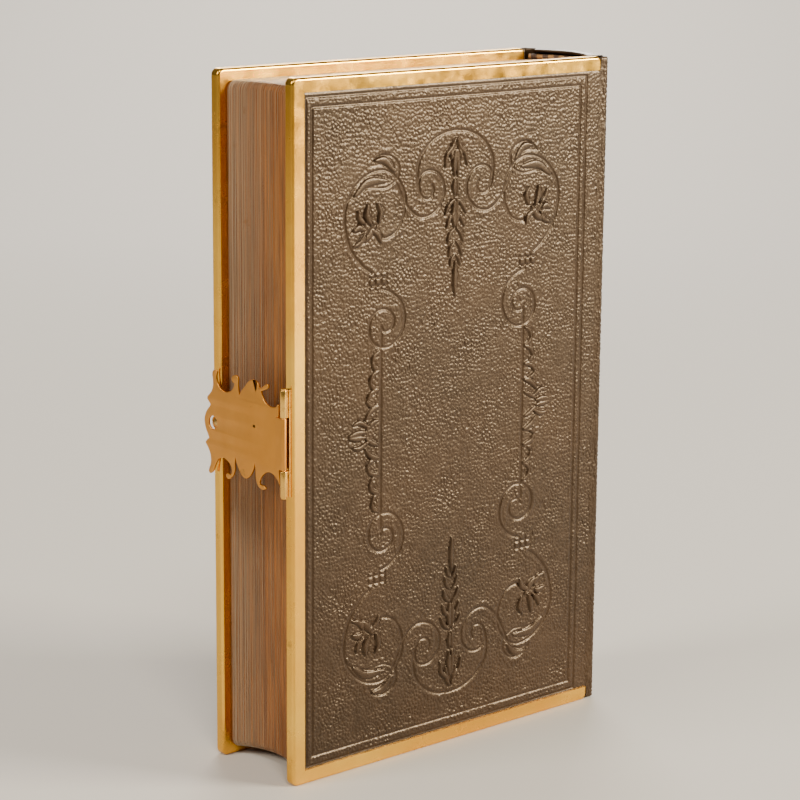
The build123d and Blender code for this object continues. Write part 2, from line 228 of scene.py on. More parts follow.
def gilt_material(name):
    """Dull aged gilding over the leaves' edges: streaks follow each leaf."""
    mat, nt, bsdf = new_material(name)
    leaf = node(nt, "ShaderNodeAttribute", attribute_name="leaf")
    streak = noise(nt, coords(nt, (1, 1, 0.03)), 2600, 4, 0.6)
    wide = noise(nt, coords(nt, (1, 1, 0.10)), 160, 3, 0.6)
    wear = noise(nt, coords(nt, (1, 1, 0.05)), 1300, 5, 0.7)
    patch = noise(nt, coords(nt), 55, 4, 0.6)
    base = ramp(nt, wide, [(0.30, (0.130, 0.032, 0.006)), (0.50, (0.260, 0.085, 0.016)),
                           (0.68, (0.44, 0.180, 0.036))])
    tone = mix(nt, 0.55, base, ramp(nt, leaf.outputs["Fac"], [(0.0, (0.110, 0.027, 0.005)),
                                                              (1.0, (0.50, 0.205, 0.042))]))
    lines = ramp(nt, streak, [(0.36, (0.40, 0.34, 0.30)), (0.60, (1.10, 1.02, 0.90))])
    tone = mix(nt, 0.8, tone, lines, "MULTIPLY")
    scratches = ramp(nt, wear, [(0.66, (0, 0, 0)), (0.76, (0.60, 0.60, 0.60))])
    tone = mix(nt, scratches, tone, (0.42, 0.32, 0.22))
    nt.links.new(tone, bsdf.inputs["Base Color"])
    nt.links.new(ramp(nt, patch, [(0.35, (0.45, 0.45, 0.45)), (0.7, (0.15, 0.15, 0.15))]),
                 bsdf.inputs["Metallic"])
    nt.links.new(ramp(nt, streak, [(0.3, (0.62,) * 3), (0.7, (0.40,) * 3)]), bsdf.inputs["Roughness"])
    bump(nt, bsdf, streak, 0.00006, 0.6)
    return mat


def paper_material(name, colour, foxing, rough=0.75):
    mat, nt, bsdf = new_material(name)
    vec = coords(nt)
    big = noise(nt, vec, 30, 4)
    spots = noise(nt, vec, 420, 3)
    fibre = noise(nt, vec, 5200, 2)
    base = ramp(nt, big, [(0.3, tuple(c * 0.86 for c in colour)), (0.7, colour)])
    spot = ramp(nt, spots, [(0.66, (0, 0, 0)), (0.78, (0.6, 0.6, 0.6))])
    nt.links.new(mix(nt, spot, base, foxing), bsdf.inputs["Base Color"])
    bsdf.inputs["Roughness"].default_value = rough
    bump(nt, bsdf, fibre, 0.00002, 0.4)
    return mat


def silk_material(name, colour):
    mat, nt, bsdf = new_material(name)
    vec = coords(nt)
    n = noise(nt, vec, 2200, 3)
    nt.links.new(ramp(nt, n, [(0.3, tuple(c * 0.6 for c in colour)), (0.7, colour)]),
                 bsdf.inputs["Base Color"])
    bsdf.inputs["Roughness"].default_value = 0.5
    bsdf.inputs["Sheen Weight"].default_value = 0.4
    bump(nt, bsdf, n, 0.00004, 0.5)
    return mat


leather = leather_material("Leather")
rim_brass = brass_material("RimBrass", (0.98, 0.58, 0.085), (0.86, 0.43, 0.05), (0.26, 0.11, 0.035),
                           0.14, 0.32, 0.62, 28)
hinge_brass = brass_material("HingeBrass", (0.92, 0.56, 0.13), (0.72, 0.39, 0.08), (0.20, 0.09, 0.03),
                             0.16, 0.32, 0.60)
clasp_brass = brass_material("ClaspBrass", (0.78, 0.37, 0.075), (0.66, 0.30, 0.055), (0.24, 0.13, 0.040),
                             0.36, 0.50, 0.66, 45, 0.9)
stud_brass = brass_material("StudBrass", (0.72, 0.48, 0.17), (0.50, 0.31, 0.10), (0.12, 0.065, 0.025),
                            0.20, 0.34, 0.58)
gilt = gilt_material("GiltEdge")
page = paper_material("Page", (0.66, 0.57, 0.41), (0.42, 0.27, 0.13))
end_paper = paper_material("EndPaper", (0.58, 0.47, 0.29), (0.36, 0.22, 0.10), 0.55)
board_card = paper_material("Millboard", (0.30, 0.23, 0.15), (0.16, 0.10, 0.06), 0.9)
cloth = paper_material("LiningCloth", (0.55, 0.47, 0.33), (0.30, 0.22, 0.12), 0.95)
silk_dark = silk_material("SilkBrown", (0.10, 0.045, 0.022))
silk_gold = silk_material("SilkGold", (0.55, 0.27, 0.075))

# ------------------------------------------------------------------ mesh helpers


def mesh_piece(name, verts, faces, mats, smooth=True, face_mats=None, leaf=None):
    """An object from book millimetres."""
    me = bpy.data.meshes.new(name)
    me.from_pydata(world(verts).tolist(), [], [list(map(int, f)) for f in faces])
    for m in mats:
        me.materials.append(m)
    if face_mats is not None:
        me.polygons.foreach_set("material_index", np.asarray(face_mats, dtype=np.int32))
    me.polygons.foreach_set("use_smooth", np.full(len(me.polygons), smooth))
    if leaf is not None:
        layer = me.attributes.new("leaf", "FLOAT", "POINT")
        layer.data.foreach_set("value", np.asarray(leaf, dtype=np.float32))
    me.update()
    ob = bpy.data.objects.new(name, me)
    bpy.context.scene.collection.objects.link(ob)
    return ob


def grid_faces(nu, nv, wrap_v=False, flip=False, base=0):
    """Quads of a grid of nu by nv points stored row by row."""
    i = np.arange(nu - 1)[:, None]
    j = np.arange(nv if wrap_v else nv - 1)[None, :]
    k = (j + 1) % nv
    quads = np.stack([i * nv + j, (i + 1) * nv + j, (i + 1) * nv + k, i * nv + k], -1).reshape(-1, 4) + base
    return quads[:, ::-1] if flip else quads


def sharp_edges(ob, degrees=35):
    """Smooth shading that stays crisp at real corners."""
    ob.data.set_sharp_from_angle(angle=math.radians(degrees))


# ------------------------------------------------------------------ leather grain and blind tooling

def pebbles(u, v, cell, seed):
    """Distance in millimetres from the nearest crease between the grain's pebbles."""
    side = 512
    r = np.random.default_rng(seed)
    jitter = r.random((side, side, 2))
    iu, iv = np.floor(u / cell).astype(int), np.floor(v / cell).astype(int)
    best = np.full(u.shape, 9.0)
    second = np.full(u.shape, 9.0)
    for du in (-1, 0, 1):
        for dv in (-1, 0, 1):
            a, b = (iu + du) % side, (iv + dv) % side
            d = np.hypot((iu + du + jitter[a, b, 0]) * cell - u, (iv + dv + jitter[a, b, 1]) * cell - v)
            second = np.minimum(second, np.maximum(best, d))
            best = np.minimum(best, d)
    return second - best


def waves(u, v, size, seed):
    """Soft random hills, about -1 to 1."""
    r = np.random.default_rng(seed)
    total = np.zeros(u.shape)
    for _ in range(9):
        turn = r.random() * 6.283
        k = 6.283 / (size * (0.6 + r.random()))
        total += np.sin(k * (u * math.cos(turn) + v * math.sin(turn)) + r.random() * 6.283)
    return total / 4.5


def grain(u, v, seed):
    """Pebble grain of the morocco, as a height in millimetres at or below 0."""
    warp_u = u + 0.22 * waves(u, v, 3.1, seed + 1)
    warp_v = v + 0.22 * waves(u, v, 2.7, seed + 2)
    crease = pebbles(warp_u * 1.06, warp_v * 0.94, 0.74, seed)
    fine = pebbles(warp_u, warp_v, 0.36, seed + 5)
    depth = 1 + 0.35 * waves(u, v, 11, seed + 3)
    return -(0.125 * np.exp(-(crease / 0.18) ** 2) + 0.024 * np.exp(-(fine / 0.09) ** 2)) * depth


# One quarter of the tooled panel, in millimetres from the panel's middle: a towards the side, b towards
# the end
LINES = [
    # great loop, from the knot, out round the lily and back under it
    ([(20.6, 30.2), (22.9, 31.9), (25.7, 35.3), (27.0, 40.2), (26.1, 44.3), (22.8, 47.8), (18.2, 49.0),
      (14.6, 47.3), (12.6, 44.2), (12.7, 40.5), (14.4, 37.6), (17.0, 36.4), (18.5, 36.9)], 0.23, 0.26),
    # crescent leaf's lower edge across the top of the loop
    ([(26.3, 43.8), (23.6, 45.5), (20.4, 45.9), (17.2, 45.7), (14.4, 46.9)], 0.20, 0.22),
    # neck that leaves the loop, dips and winds up into the small volute
    ([(15.3, 48.0), (13.6, 44.4), (11.4, 41.2), (8.4, 39.4), (5.1, 40.2), (3.0, 42.6), (3.0, 45.4),
      (4.7, 47.5), (7.1, 48.0), (8.9, 46.9), (9.1, 44.6), (8.0, 43.0), (6.4, 42.8), (5.5, 44.0),
      (5.9, 45.3)], 0.23, 0.26),
    # arch from the volute over the middle
    ([(9.2, 44.9), (9.6, 47.6), (8.9, 50.4), (6.6, 53.0), (3.4, 54.6), (0.0, 55.1)], 0.22, 0.25),
    # hooked leaf above the loop
    ([(14.4, 46.9), (14.0, 49.2), (15.3, 51.0), (17.6, 51.8), (19.6, 51.2), (20.9, 49.9)], 0.20, 0.22),
    ([(20.9, 49.9), (18.9, 50.0), (17.2, 49.6)], 0.15, 0.18),
    # line from the knot, round into the side volute
    ([(18.1, 27.0), (15.6, 26.0), (13.2, 23.8), (12.4, 20.8), (13.4, 17.9), (16.0, 16.0), (19.0, 16.3),
      (20.9, 18.4), (20.8, 21.2), (18.9, 23.0), (16.6, 22.9), (15.1, 21.3), (15.6, 19.4), (17.3, 18.9),
      (18.2, 20.0)], 0.23, 0.26),
    # stem up the side
    ([(18.1, 18.9), (18.1, 0.0)], 0.20, 0.24),
    # second lines that make the strap double in the volutes
    ([(4.0, 41.9), (4.0, 44.8), (5.4, 46.6)], 0.08, 0.20),
    ([(13.6, 22.9), (13.4, 20.6), (14.4, 18.5)], 0.08, 0.20),
]
# Raised leaves and petals: centre line, half width, height
PETALS = [
    ([(22.9, 36.2), (21.2, 37.3), (19.9, 39.0)], 0.75, 0.26),
    ([(24.9, 35.6), (23.3, 36.2), (22.3, 37.7)], 0.55, 0.24),
    ([(24.9, 38.4), (23.6, 38.9), (22.6, 38.4)], 0.65, 0.26),
    ([(21.6, 42.9), (21.6, 41.0), (20.8, 39.3)], 0.70, 0.28),
    ([(23.8, 42.0), (23.4, 40.6), (22.2, 39.5)], 0.60, 0.26),
    ([(19.2, 42.9), (18.4, 41.4), (18.9, 39.4)], 0.60, 0.26),
    ([(20.4, 38.2), (19.0, 37.2), (18.4, 35.8)], 0.60, 0.24),
    ([(24.6, 44.9), (21.4, 47.0), (17.0, 47.0)], 0.75, 0.16),
    ([(19.8, 50.9), (17.4, 50.7), (15.2, 48.6)], 0.70, 0.18),
    ([(0.3, 53.6), (1.0, 51.8), (1.2, 49.8)], 0.60, 0.26),
    ([(0.6, 52.4), (2.3, 50.6), (2.7, 48.4)], 0.50, 0.26),
    ([(0.2, 51.5), (0.5, 49.0), (0.4, 46.6)], 0.50, 0.24),
    ([(0.3, 46.0), (0.45, 44.4), (0.3, 42.9)], 0.42, 0.22),
    ([(0.2, 42.2), (1.6, 41.2), (2.6, 39.4)], 0.50, 0.26),
    ([(0.3, 39.6), (1.4, 38.6), (2.2, 36.9)], 0.50, 0.26),
    ([(0.3, 42.0), (0.5, 39.5), (0.3, 36.8)], 0.50, 0.24),
    ([(0.3, 36.6), (1.4, 35.6), (1.9, 34.0)], 0.46, 0.24),
    ([(0.3, 34.0), (1.2, 33.0), (1.6, 31.4)], 0.44, 0.24),
    ([(0.2, 31.6), (0.9, 30.8), (1.2, 29.5)], 0.40, 0.22),
    ([(0.0, 30.4), (0.1, 27.0), (0.0, 23.7)], 0.50, 0.26),
    ([(18.6, 15.4), (19.9, 14.6), (20.3, 13.2)], 0.45, 0.22),
    ([(20.3, 13.4), (19.6, 12.2), (18.6, 11.9)], 0.45, 0.22),
    ([(18.6, 11.7), (20.2, 11.0), (20.8, 9.5)], 0.50, 0.24),
    ([(20.8, 9.6), (19.8, 8.4), (18.6, 8.3)], 0.45, 0.22),
    ([(18.6, 8.1), (20.6, 7.6), (21.5, 6.2)], 0.50, 0.24),
    ([(21.6, 6.2), (20.3, 5.2), (18.8, 5.2)], 0.50, 0.24),
    ([(18.6, 5.0), (20.6, 4.2), (21.9, 2.8)], 0.55, 0.26),
    ([(18.8, 2.4), (20.2, 1.9), (21.6, 0.9)], 0.55, 0.26),
    ([(21.2, 1.4), (23.2, 2.4), (24.9, 2.2)], 0.55, 0.26),
    ([(21.8, 0.5), (24.0, 0.5), (25.8, 0.2)], 0.60, 0.28),
]
KNOT = (19.0, 28.5)


def tooling_map(step=0.08):
    """Height of the tooled panel over one quarter, and how far the grain is pressed flat there."""
    a, b = np.meshgrid(np.arange(0, 30, step), np.arange(0, 60, step), indexing="ij")
    height = np.zeros(a.shape)
    smooth = np.zeros(a.shape)

    def window(pts, pad):
        lo = np.maximum(((pts.min(0) - pad) / step).astype(int), 0)
        hi = ((pts.max(0) + pad) / step).astype(int) + 1
        return slice(lo[0], hi[0]), slice(lo[1], hi[1])

    for points, depth, width in LINES:
        pts = spline(points, 0.1)
        w = window(pts, 2.0)
        d = np.full(a[w].shape, 9.0)
        for p in pts:
            d = np.minimum(d, np.hypot(a[w] - p[0], b[w] - p[1]))
        height[w] = np.minimum(height[w], -depth * np.exp(-(d / width) ** 2)) \
            + 0.06 * np.exp(-((d - 0.75) / 0.35) ** 2) * (height[w] > -0.05)
        smooth[w] = np.maximum(smooth[w], np.exp(-(d / 0.45) ** 4))
    for points, width, rise in PETALS:
        pts = spline(points, 0.08)
        w = window(pts, width + 0.8)
        t = np.linspace(0, 1, len(pts))
        radius = width * (0.25 + 0.75 * np.sin(np.pi * np.clip(t * 0.92 + 0.04, 0, 1)) ** 0.8)
        ratio = np.full(a[w].shape, 9.0)
        for p, r in zip(pts, radius):
            ratio = np.minimum(ratio, np.hypot(a[w] - p[0], b[w] - p[1]) / r)
        dome = rise * np.sqrt(np.clip(1 - ratio ** 2, 0, 1))
        edge = -0.17 * np.exp(-((ratio - 1.18) / 0.24) ** 2)
        height[w] = np.where(ratio < 1, np.maximum(height[w], dome), height[w] + edge)
        smooth[w] = np.maximum(smooth[w], np.exp(-(ratio / 1.35) ** 6))
    ka, kb = KNOT
    inside = (np.abs(a - ka) < 2.2) & (np.abs(b - kb) < 1.5)
    cell = np.maximum(np.exp(-(((a - ka) % 1.45 - 0.72) / 0.2) ** 2),
        np.exp(-(((b - kb) % 1.5 - 0.75) / 0.2) ** 2))
    height = np.where(inside, 0.05 - 0.26 * cell, height)
    smooth = np.where(inside, 1, smooth)
    return height, smooth, step


TOOL, FLAT, TOOL_STEP = tooling_map()
PANEL_X = WIDTH / 2 + 0.55
PANEL_Z = HEIGHT / 2 - 0.9


def lookup(table, a, b):
    i = np.clip(a / TOOL_STEP, 0, table.shape[0] - 1.001)
    j = np.clip(b / TOOL_STEP, 0, table.shape[1] - 1.001)
    i0, j0 = i.astype(int), j.astype(int)
    fi, fj = i - i0, j - j0
    return ((table[i0, j0] * (1 - fi) + table[i0 + 1, j0] * fi) * (1 - fj)
            + (table[i0, j0 + 1] * (1 - fi) + table[i0 + 1, j0 + 1] * fi) * fj)


FILLETS_X = ((3.15, WIDTH - 4.0), (4.6, WIDTH - 5.6))
FILLETS_Z = ((3.25, HEIGHT - 3.6), (5.1, HEIGHT - 5.4))


def cover_relief(x, z, seed):
    """Height of the leather over one cover at x, z, in millimetres."""
    a, b = np.abs(x - PANEL_X), np.abs(z - PANEL_Z)
    height = lookup(TOOL, a, b)
    flat = lookup(FLAT, a, b)
    for (xl, xh), (zl, zh) in zip(FILLETS_X, FILLETS_Z):
        outside = np.maximum(np.maximum(xl - x, x - xh), np.maximum(zl - z, z - zh))
        d = np.abs(outside)
        height += -0.20 * np.exp(-(d / 0.26) ** 2) + 0.05 * np.exp(-((d - 0.6) / 0.3) ** 2)
        flat = np.maximum(flat, np.exp(-(d / 0.42) ** 4))
    height += 0.05 * waves(x, z, 34, seed + 9)
    return height + grain(x, z, seed) * (1 - 0.92 * flat)


# ------------------------------------------------------------------ cover leathers

GRID = 0.17
PANEL_END = WIDTH - 0.6


def cover_panel(name, side, seed):
    """The flat leather of one cover, from under the rim to just short of the joint."""
    xs = np.linspace(STRIP - 1.2, PANEL_END, int((PANEL_END - STRIP + 1.2) / GRID))
    zs = np.linspace(STRIP - 1.2, HEIGHT - STRIP + 1.2, int((HEIGHT - 2 * STRIP + 2.4) / GRID))
    x, z = np.meshgrid(xs, zs, indexing="ij")
    surface = LEATHER_Y + 0.10 + cover_relief(x, z, seed)
    tuck = np.minimum(np.minimum(x - STRIP, z - STRIP), HEIGHT - STRIP - z)
    surface = np.where(tuck < 0.5, np.minimum(surface, LEATHER_Y - 0.02 + 0.12 * smoothstep(0, 0.5, tuck)),
        surface)
    top = np.stack([x, side * surface, z], -1)
    nu, nv = x.shape
    verts = list(top.reshape(-1, 3))
    flip = side < 0
    faces = [list(f) for f in grid_faces(nu, nv, flip=flip)]
    ring = [i * nv for i in range(nu)] + [(nu - 1) * nv + j for j in range(1, nv)]
    ring += [i * nv + nv - 1 for i in range(nu - 2, -1, -1)] + [j for j in range(nv - 2, 0, -1)]
    low = len(verts)
    for k in ring:
        verts.append([verts[k][0], side * (LEATHER_Y - 0.38), verts[k][2]])
    n = len(ring)
    for k in range(n):
        quad = [ring[k], ring[(k + 1) % n], low + (k + 1) % n, low + k]
        faces.append(quad if flip else quad[::-1])
    under = [low + k for k in range(n)]
    faces.append(under if flip else under[::-1])
    ob = mesh_piece(name, np.array(verts), faces, [leather])
    sharp_edges(ob, 70)
    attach(ob, "front_cover" if side > 0 else "back_cover")
    return ob


for label, side, seed in (("front", 1, 40), ("back", -1, 11)):
    panel = cover_panel(f"{label}_cover_leather", side, seed)
    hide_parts(f"{label}_leather")

# ------------------------------------------------------------------ joints and spine

spine_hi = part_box("spine_leather")[1]
ARC_TOP = (spine_hi[0] - X0) / MM - 0.6
ARC_R = (JOINT_Y ** 2 + (ARC_TOP - JOINT_X) ** 2) / (2 * (ARC_TOP - JOINT_X))
ARC_X = ARC_TOP - ARC_R
SEAM = math.radians(39)


def arc(phi, r=None):
    r = ARC_R if r is None else r
    return [ARC_X + r * math.cos(phi), r * math.sin(phi)]


def shell(name, path, rows, reach, z_low, relief, thickness):
    """Leather along a path in x, y. Each station is a closed loop: out, over the head, in, and round the
    tail."""
    path = np.asarray(path)
    tangent = np.gradient(path, axis=0)
    tangent /= np.linalg.norm(tangent, axis=1)[:, None]
    normal = np.stack([-tangent[:, 1], tangent[:, 0]], -1)
    centre = np.array([WIDTH - 20.0, 0.0])
    normal *= np.sign(np.sum(normal * (path - centre), axis=1))[:, None]
    run = np.concatenate([[0], np.cumsum(np.linalg.norm(np.diff(path, axis=0), axis=1))])
    loops = []
    for k, (p, n) in enumerate(zip(path, normal)):
        lo = z_low[k]
        hi = HEIGHT - lo
        zs = np.linspace(lo + 0.55, hi - 0.55, rows)
        out = relief(np.full(rows, run[k]), zs, p)
        r = [*out]
        z = [*zs]
        t, deep = thickness[k], max(reach[k], thickness[k] + 0.02)
        cap = [(-0.06, 0.30), (-0.22, 0.10), (-0.50, 0.0), (-0.5 - (deep - 0.5) * 0.5, 0.05),
               (-deep + 0.05, 0.10), (-deep, 0.30), (-deep + 0.1, 0.52), (-t - (deep - t) * 0.4, 0.60)]
        if deep < 0.9:
            cap = [(-t * s, q) for s, q in ((0.1, 0.30), (0.3, 0.10), (0.5, 0.0), (0.62, 0.02),
                                             (0.75, 0.06), (0.88, 0.16), (0.96, 0.30), (1.0, 0.45))]
        for dr, dz in cap:
            r.append(dr)
            z.append(hi - dz)
        for q in np.linspace(0, 1, 7):
            r.append(-t)
            z.append(hi - 0.9 + q * (lo + 0.9 - hi + 0.9))
        for dr, dz in cap[::-1]:
            r.append(dr)
            z.append(lo + dz)
        r, z = np.array(r), np.array(z)
        loops.append(np.stack([p[0] + n[0] * r, p[1] + n[1] * r, z], -1))
    pts = np.array(loops)
    nu, nv = pts.shape[:2]
    faces = [list(f) for f in grid_faces(nu, nv, wrap_v=True)]
    faces.append(list(range(nv)))
    faces.append([(nu - 1) * nv + j for j in range(nv)][::-1])
    ob = mesh_piece(name, pts.reshape(-1, 3), faces, [leather])
    bm_fix_normals(ob)
    sharp_edges(ob, 75)
    return ob


def bm_fix_normals(ob):
    import bmesh
    bm = bmesh.new()
    bm.from_mesh(ob.data)
    bmesh.ops.recalc_face_normals(bm, faces=bm.faces)
    bm.to_mesh(ob.data)
    bm.free()


ROWS = int((HEIGHT - 1.4) / (0.25))
BANDS = [HEIGHT / 6 * (i + 1) for i in range(5)]


def spine_relief(run, z, p):
    phi = abs(math.atan2(p[1], p[0] - ARC_X))
    fade = 1 - smoothstep(math.radians(30), math.radians(38), phi)
    h = np.zeros(z.shape)
    for band in BANDS:
        h += 0.55 * fade * np.exp(-(np.abs(z - band) / 1.15) ** 4)
        h -= 0.12 * fade * np.exp(-((np.abs(z - band) - 2.3) / 0.35) ** 2)
    ends = smoothstep(0, 2.0, np.minimum(z, HEIGHT - z))
    return h + (grain(run + 300, z, 77) + 0.03 * waves(run, z, 14, 5)) * ends


phis = np.linspace(-SEAM, SEAM, 90)
spine = shell("spine_covering", [arc(f) for f in phis], ROWS, np.full(90, 3.4), np.full(90, 0.12),
    spine_relief,
              np.full(90, 0.42))
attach(spine, "text_block")
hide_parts("spine_leather")

for label, side in (("front", 1), ("back", -1)):
    knots = [(PANEL_END - 0.05, LEATHER_Y + 0.10), (WIDTH, LEATHER_Y + 0.12), (WIDTH + 0.5, HALF - 0.12),
             (JOINT_X, HALF - 0.02), (JOINT_X + 0.5, HALF - 0.14), (JOINT_X + 0.85, HALF - 0.52),
             (JOINT_X + 1.02, HALF - 0.98), arc(math.radians(41.5)), arc(SEAM)]
    path = spline(knots, 0.13)
    n = len(path)
    past_rim = smoothstep(WIDTH - 0.22, WIDTH - 0.05, path[:, 0])
    z_low = STRIP - 1.2 + (0.12 - STRIP + 1.2) * past_rim
    path[:, 1] *= side
    thick = 0.40 + 0.25 * np.sin(np.pi * np.linspace(0, 1, n))

    def joint_relief(run, z, p, side=side):
        ends = smoothstep(0, 1.2, np.minimum(z, HEIGHT - z))
        x = np.full(z.shape, p[0])
        near = cover_relief(x, z, 40 if side > 0 else 11)
        far = grain(run + 60, z, 31)
        blend_in = smoothstep(PANEL_END, PANEL_END + 0.8, p[0])
        return (near * (1 - blend_in) + far * blend_in) * ends

    strip = shell(f"{label}_joint_leather", path, ROWS, thick + 0.02, z_low, joint_relief, thick)
    a = world([WIDTH - 0.1, side * JOINT_Y, HEIGHT / 2])
    b = world([JOINT_X + 1.0, side * (JOINT_Y - 0.2), HEIGHT / 2])
    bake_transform(strip)

# ------------------------------------------------------------------ leaves

fly_lo, fly_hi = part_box("back_flyleaf")
BLOCK_LOW = (fly_hi[1] - Y0) / MM + 0.05
BLOCK_HIGH = -BLOCK_LOW
FORE = (fly_lo[0] - X0) / MM
TAIL = fly_lo[2] / MM
HEAD = fly_hi[2] / MM
HOLLOW = (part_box("gathering_09")[0][0] - X0) / MM - FORE
SPINE_HALF = (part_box("gathering_18")[1][1] - Y0) / MM
SHOULDER = WIDTH + 0.2
SPINE_MID = (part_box("gathering_09")[1][0] - X0) / MM
FAN = SPINE_HALF / BLOCK_HIGH
FORE_R = (BLOCK_HIGH ** 2 + HOLLOW ** 2) / (2 * HOLLOW)
CORNER = 1.7


def fore_x(y):
    return FORE + math.sqrt(FORE_R ** 2 - y * y) - (FORE_R - HOLLOW)


def leaf_outline(y, end, rows=46):
    """One leaf's edge, from the spine at the tail, round the fore edge, to the spine at the head: x, z
    points."""
    ragged = rng.normal(0, 0.035)
    low = TAIL + rng.normal(0, 0.025)
    high = HEAD + rng.normal(0, 0.025)
    x = fore_x(y) + ragged
    bow = rng.normal(0, 0.03)
    phase = rng.random() * 6.28
    pts = [(end, low), (SHOULDER, low), (x + CORNER, low)]
    for q in (25, 50, 75):
        s = math.radians(q)
        pts.append((x + CORNER * (1 - math.sin(s)), low + CORNER * (1 - math.cos(s))))
    for q in np.linspace(0, 1, rows):
        z = low + CORNER + q * (high - low - 2 * CORNER)
        pts.append((x + bow * math.sin(3.14 * q) + 0.015 * math.sin(phase + 11 * q), z))
    for q in (75, 50, 25):
        s = math.radians(q)
        pts.append((x + CORNER * (1 - math.sin(s)), high - CORNER * (1 - math.cos(s))))
    pts += [(x + CORNER, high), (SHOULDER, high), (end, high)]
    return pts


def gathering_piece(index, count, leaves):
    verts, faces, mats, leaf = [], [], [], []
    pitch = (BLOCK_HIGH - BLOCK_LOW) / (count * leaves)
    for k in range(leaves):
        y0 = BLOCK_LOW + (index * leaves + k) * pitch
        y1 = y0 + pitch * 0.90
        mid = (y0 + y1) / 2
        end = SPINE_MID - 0.25 - (mid * FAN) ** 2 / (2 * 17.8)
        outline = leaf_outline(mid, end)
        n = len(outline)
        base = len(verts)
        shade = rng.random()
        for y in (y0, y1):
            for j, (x, z) in enumerate(outline):
                verts.append([x, y * FAN if j in (0, n - 1) else y, z])
                leaf.append(shade)
        for j in range(n):
            m = (j + 1) % n
            faces.append([base + j, base + m, base + n + m, base + n + j])
            mats.append(0 if j < n - 1 else 1)
        inner = list(range(1, n - 1))
        faces.append([base + j for j in inner][::-1])
        faces.append([base, base + 1, base + n - 2, base + n - 1][::-1])
        faces.append([base + n + j for j in inner])
        faces.append([base + n, base + n + 1, base + n + n - 2, base + n + n - 1])
        mats += [1, 1, 1, 1]
    ob = mesh_piece(f"gathering_leaves_{index + 1:02d}", np.array(verts), faces, [gilt, page], False, mats,
        leaf)
    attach(ob, "text_block")
    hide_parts(f"gathering_{index + 1:02d}")


for index in range(18):
    gathering_piece(index, 18, 8)

for label, side in (("front", 1), ("back", -1)):
    for kind, mats_in in (("end_paper", [end_paper, gilt]), ("flyleaf", [page, gilt])):
        lo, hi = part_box(f"{label}_{kind}")
        ya, yb = (lo[1] - Y0) / MM, (hi[1] - Y0) / MM
        yb = ya + (yb - ya) * 0.8
        hinge_x = (joints[f"{label}_{kind}_turn"]["pos_m"][0] - X0) / MM
        xs = np.concatenate([[FORE, FORE + 0.15, FORE + 0.5, FORE + 1.0, FORE + CORNER],
                             np.linspace(FORE + CORNER + 2, hinge_x - 6, 20),
                             np.linspace(hinge_x - 5.5, hinge_x + 0.35, 30)])
        zs = np.linspace(0, 1, 24)
        verts = []
        for y in (ya, yb):
            for x in xs:
                inset = 0.0
                if x < FORE + CORNER:
                    inset = CORNER - math.sqrt(max(CORNER ** 2 - (FORE + CORNER - x) ** 2, 0))
                for q in zs:
                    verts.append([x, y, TAIL + inset + q * (HEAD - TAIL - 2 * inset)])
        nu, nv = len(xs), len(zs)
        low = grid_faces(nu, nv, flip=False).tolist()
        high = grid_faces(nu, nv, flip=True, base=nu * nv).tolist()
        faces = low + high
        mats = [0] * len(faces)
        ring = [i * nv for i in range(nu)] + [(nu - 1) * nv + j for j in range(1, nv)]
        ring += [i * nv + nv - 1 for i in range(nu - 2, -1, -1)] + [j for j in range(nv - 2, 0, -1)]
        for k in range(len(ring)):
            a, b = ring[k], ring[(k + 1) % len(ring)]
            faces.append([a, b, b + nu * nv, a + nu * nv])
            mats.append(1)
        ob = mesh_piece(f"{label}_{kind}_sheet", np.array(verts), faces, mats_in, False, mats,
                        np.full(len(verts), 0.5))
        bm_fix_normals(ob)
        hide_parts(f"{label}_{kind}")
        y = (ya + yb) / 2
        tuple(world([hinge_x - 3.2, y, HEIGHT / 2]))
        tuple(world([hinge_x + 0.3, y,
                 HEIGHT / 2]))
        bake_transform(ob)

# ------------------------------------------------------------------ endbands, wound with silk

for label, node_name in (("head", "head_endband"), ("tail", "tail_endband")):
    lo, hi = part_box(node_name)
    radius = (hi[2] - lo[2]) / 2 / MM
    zc = (hi[2] + lo[2]) / 2 / MM
    half = (hi[1] - lo[1]) / 2 / MM - radius * 0.4
    x_top = (hi[0] - X0) / MM - radius
    sag = 2.45
    path_r = (half ** 2 + sag ** 2) / (2 * sag)
    turns = 46
    nu, nv = turns * 6, 14
    span = math.asin(half / path_r)
    verts, mats = [], []
    for i in range(nu):
        phi = -span + 2 * span * i / (nu - 1)
        for j in range(nv):
            t = 6.28318 * j / nv
            thread = abs(math.sin(math.pi * (i / 6 + j / nv)))
            r = radius * (0.86 + 0.14 * thread ** 0.6)
            rho = path_r + r * math.cos(t)
            verts.append([x_top - path_r + rho * math.cos(phi), rho * math.sin(phi), zc + r * math.sin(t)])
    faces = grid_faces(nu, nv, wrap_v=True).tolist()
    for f in faces:
        i, j = f[0] // nv, f[0] % nv
        mats.append(int((i / 6 + j / nv) // 3) % 2)
    faces += [list(range(nv)), [(nu - 1) * nv + j for j in range(nv)][::-1]]
    mats += [0, 0]
    ob = mesh_piece(f"{label}_band_silk", np.array(verts), faces, [silk_dark, silk_gold], True, mats)
    bm_fix_normals(ob)
    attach(ob, "text_block")
    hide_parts(node_name)

# ------------------------------------------------------------------ clasp

hinge = joints["clasp_hinge"]["pos_m"]
HX, HY, HZ = (hinge[0] - X0) / MM, (hinge[1] - Y0) / MM, hinge[2] / MM
PLATE_OUT = HX
base_lo, base_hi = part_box("clasp_hinge_base")
BARREL = (base_hi[1] - base_lo[1]) / 2 / MM
STUD_T = (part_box("clasp_stud")[0][1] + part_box("clasp_stud")[1][1]) / 2 / MM - Y0 / MM - HY
THICK = 0.45

